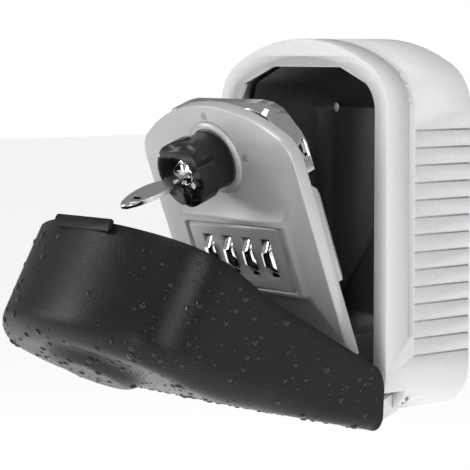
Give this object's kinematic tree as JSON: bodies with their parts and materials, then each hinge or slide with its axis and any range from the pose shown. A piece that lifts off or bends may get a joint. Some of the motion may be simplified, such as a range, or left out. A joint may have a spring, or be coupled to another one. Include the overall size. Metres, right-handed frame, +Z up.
{
  "type": "wall key lock box",
  "caption": "Wall-hung key lock box with an arch-topped housing, a bottom-hinged combination door with a turning knob and override key, and a hinged weather cover.",
  "frame": {"origin": "centre of the housing's rear face, which rests on the wall", "axes": "+Y into the wall, +Z up, +X to the right seen from the front"},
  "size_m": [0.1272, 0.2115, 0.1849],
  "materials": {
    "housing_paint": "light grey powder coat",
    "door_paint": "mid grey satin",
    "dark_steel": "dark coated steel",
    "polished_zinc": "polished",
    "chrome": "bright plate",
    "steel": "satin",
    "knob_black": "satin black",
    "cover_rubber": "matt black, weatherproof"
  },
  "bodies": {
    "housing": {"outer_housing": "housing_paint", "inner_liner": "dark_steel", "hinge_rod": "steel", "keeper_right": "steel", "keeper_right_screw_1": "steel", "keeper_right_screw_2": "steel", "keeper_left": "steel", "keeper_left_screw_1": "steel", "keeper_left_screw_2": "steel"},
    "door": {"door_front": "door_paint", "dial_cover": "door_paint", "rear_cover": "door_paint", "lock_case": "polished_zinc", "knob_collar": "door_paint", "dial_axle": "steel", "detent_spring": "steel", "case_screw_1": "steel", "rear_screw_1": "steel", "case_screw_2": "steel", "rear_screw_2": "steel", "case_screw_3": "steel", "rear_screw_3": "steel", "case_screw_4": "steel", "rear_screw_4": "steel", "door_bush_left": "dark_steel", "door_bush_right": "dark_steel", "gate_slide": "steel"},
    "knob": {"knob_grip": "knob_black", "lock_cylinder": "chrome", "knob_spindle": "steel", "drive_cam": "steel", "cam_nut": "steel", "cap_rivet": "steel"},
    "key_plug": {"key_plug": "chrome"},
    "override_key": {"override_key": "steel"},
    "dust_cap": {"dust_cap": "knob_black"},
    "bolt_right": {"bolt_right": "steel"},
    "bolt_left": {"bolt_left": "steel"},
    "reset_lever": {"reset_lever": "steel"},
    "cover": {"weather_cover": "cover_rubber", "cover_arm_left": "housing_paint", "cover_arm_right": "housing_paint", "cover_bush_left": "dark_steel", "cover_bush_right": "dark_steel"},
    "dial_1": {"dial_wheel_1": "chrome", "code_sleeve_1": "steel"},
    "dial_2": {"dial_wheel_2": "chrome", "code_sleeve_2": "steel"},
    "dial_3": {"dial_wheel_3": "chrome", "code_sleeve_3": "steel"},
    "dial_4": {"dial_wheel_4": "chrome", "code_sleeve_4": "steel"}
  },
  "joints": [
    {"name": "door_hinge", "type": "hinge", "parent": "housing", "child": "door", "pos_m": [0, -0.038, -0.0834], "axis": [1, 0, 0], "range_deg": [-21, 9]},
    {"name": "cover_hinge", "type": "hinge", "parent": "door", "child": "cover", "pos_m": [0, -0.038, -0.0834], "axis": [1, 0, 0], "range_deg": [-24, 30]},
    {"name": "knob_turn", "type": "hinge", "parent": "door", "child": "knob", "pos_m": [0, -0.11113, 0.03399], "axis": [0, -0.9336, -0.3584], "range_deg": [0, 90]},
    {"name": "bolt_right_slide", "type": "slide", "parent": "door", "child": "bolt_right", "axis": [1, 0, 0], "range_m": [0, 0.0073]},
    {"name": "bolt_left_slide", "type": "slide", "parent": "door", "child": "bolt_left", "axis": [-1, 0, 0], "range_m": [0, 0.0073]},
    {"name": "plug_turn", "type": "hinge", "parent": "knob", "child": "key_plug", "pos_m": [0, -0.11113, 0.03399], "axis": [0, -0.9336, -0.3584], "range_deg": [0, 90]},
    {"name": "key_slide", "type": "slide", "parent": "key_plug", "child": "override_key", "axis": [0, -0.9336, -0.3584], "range_m": [0, 0.0175]},
    {"name": "reset_slide", "type": "slide", "parent": "door", "child": "reset_lever", "axis": [1, 0, 0], "range_m": [0, 0.004]},
    {"name": "cap_swing", "type": "hinge", "parent": "knob", "child": "dust_cap", "pos_m": [0.01143, -0.13147, 0.0228], "axis": [0, -0.9336, -0.3584], "range_deg": [0, 40]},
    {"name": "dial_1_turn", "type": "hinge", "parent": "door", "child": "dial_1", "pos_m": [-0.021, -0.087, -0.011], "axis": [1, 0, 0], "continuous": true},
    {"name": "dial_2_turn", "type": "hinge", "parent": "door", "child": "dial_2", "pos_m": [-0.007, -0.087, -0.011], "axis": [1, 0, 0], "continuous": true},
    {"name": "dial_3_turn", "type": "hinge", "parent": "door", "child": "dial_3", "pos_m": [0.007, -0.087, -0.011], "axis": [1, 0, 0], "continuous": true},
    {"name": "dial_4_turn", "type": "hinge", "parent": "door", "child": "dial_4", "pos_m": [0.021, -0.087, -0.011], "axis": [1, 0, 0], "continuous": true}
  ],
  "couplings": [
    {"joint": "bolt_right_slide", "follows": "knob_turn", "m_per_rad": 0.004488},
    {"joint": "bolt_left_slide", "follows": "knob_turn", "m_per_rad": 0.004488}
  ]
}
